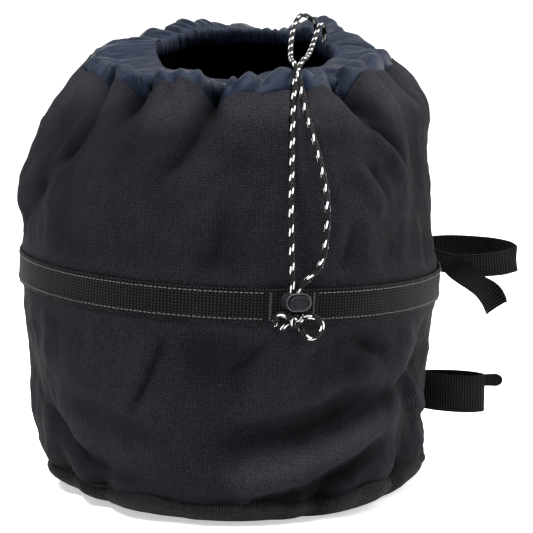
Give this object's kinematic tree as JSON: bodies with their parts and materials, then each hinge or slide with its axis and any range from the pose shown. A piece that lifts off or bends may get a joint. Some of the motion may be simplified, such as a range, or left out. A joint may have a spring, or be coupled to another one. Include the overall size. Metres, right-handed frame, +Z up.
{
  "type": "rope storage bag",
  "caption": "Upright round fabric bag for rope, with a gathered drawcord collar, a spring cord lock, a webbing band and two swinging webbing loops.",
  "frame": {"origin": "middle of the flat base, on the surface that the bag stands on", "axes": "+Z up through the mouth; -Y is the front, where the cord lock hangs; +X is the side with the webbing loops"},
  "size_m": [0.4151, 0.3569, 0.376],
  "materials": {
    "body_cloth": "matte",
    "base_cloth": "matte",
    "collar_cloth": "satin",
    "binding_tape": "matte",
    "band_webbing": "satin",
    "strap_webbing": "satin",
    "grey_thread": "satin",
    "dark_thread": "satin",
    "cord_sheath": "satin",
    "lock_plastic": "satin",
    "button_plastic": "satin",
    "spring_steel": "satin"
  },
  "bodies": {
    "bag": {"side_panel": "body_cloth", "side_seam_binding": "binding_tape", "base_panel": "base_cloth", "base_seam_binding": "binding_tape", "collar_skirt": "collar_cloth", "hem_channel": "collar_cloth", "cord_exit_buttonholes": "binding_tape", "drawcord_channel_run": "cord_sheath", "drawcord_left_fall": "cord_sheath", "drawcord_right_top": "cord_sheath", "drawcord_right_fall": "cord_sheath", "drawcord_knot": "cord_sheath", "drawcord_loop": "cord_sheath", "drawcord_long_tail": "cord_sheath", "drawcord_short_tail": "cord_sheath", "webbing_band": "band_webbing", "band_overlap": "band_webbing", "band_overlap_bartacks": "dark_thread", "band_upper_stitching": "grey_thread", "band_lower_stitching": "grey_thread", "upper_strap_patch": "strap_webbing", "lower_strap_patch": "strap_webbing"},
    "cord_lock": {"lock_barrel": "lock_plastic", "lock_spring": "spring_steel"},
    "lock_plunger": {"lock_button": "button_plastic"},
    "upper_strap": {"upper_strap_loop": "strap_webbing", "upper_strap_tail": "strap_webbing", "upper_strap_bartack": "dark_thread"},
    "lower_strap": {"lower_strap_loop": "strap_webbing", "lower_strap_tongue": "strap_webbing", "lower_strap_bartack": "dark_thread"}
  },
  "joints": [
    {"name": "lock_slide", "type": "slide", "parent": "bag", "child": "cord_lock", "axis": [-0.0185, 0.0636, 0.9978], "range_m": [0, 0.06], "deforming": ["drawcord_right_fall"]},
    {"name": "lock_button_press", "type": "slide", "parent": "cord_lock", "child": "lock_plunger", "axis": [-0.2784, 0.9582, -0.0663], "range_m": [0, 0.0025], "stiffness_N_per_m": 400, "springref_m": -0.002, "deforming": ["lock_spring"]},
    {"name": "upper_strap_swing", "type": "hinge", "parent": "bag", "child": "upper_strap", "pos_m": [0.15631, 0.08311, 0.172], "axis": [0, 0, 1], "range_deg": [-4, 60]},
    {"name": "lower_strap_swing", "type": "hinge", "parent": "bag", "child": "lower_strap", "pos_m": [0.15605, 0.0599, 0.055], "axis": [0, 0, 1], "range_deg": [-25, 60]}
  ]
}
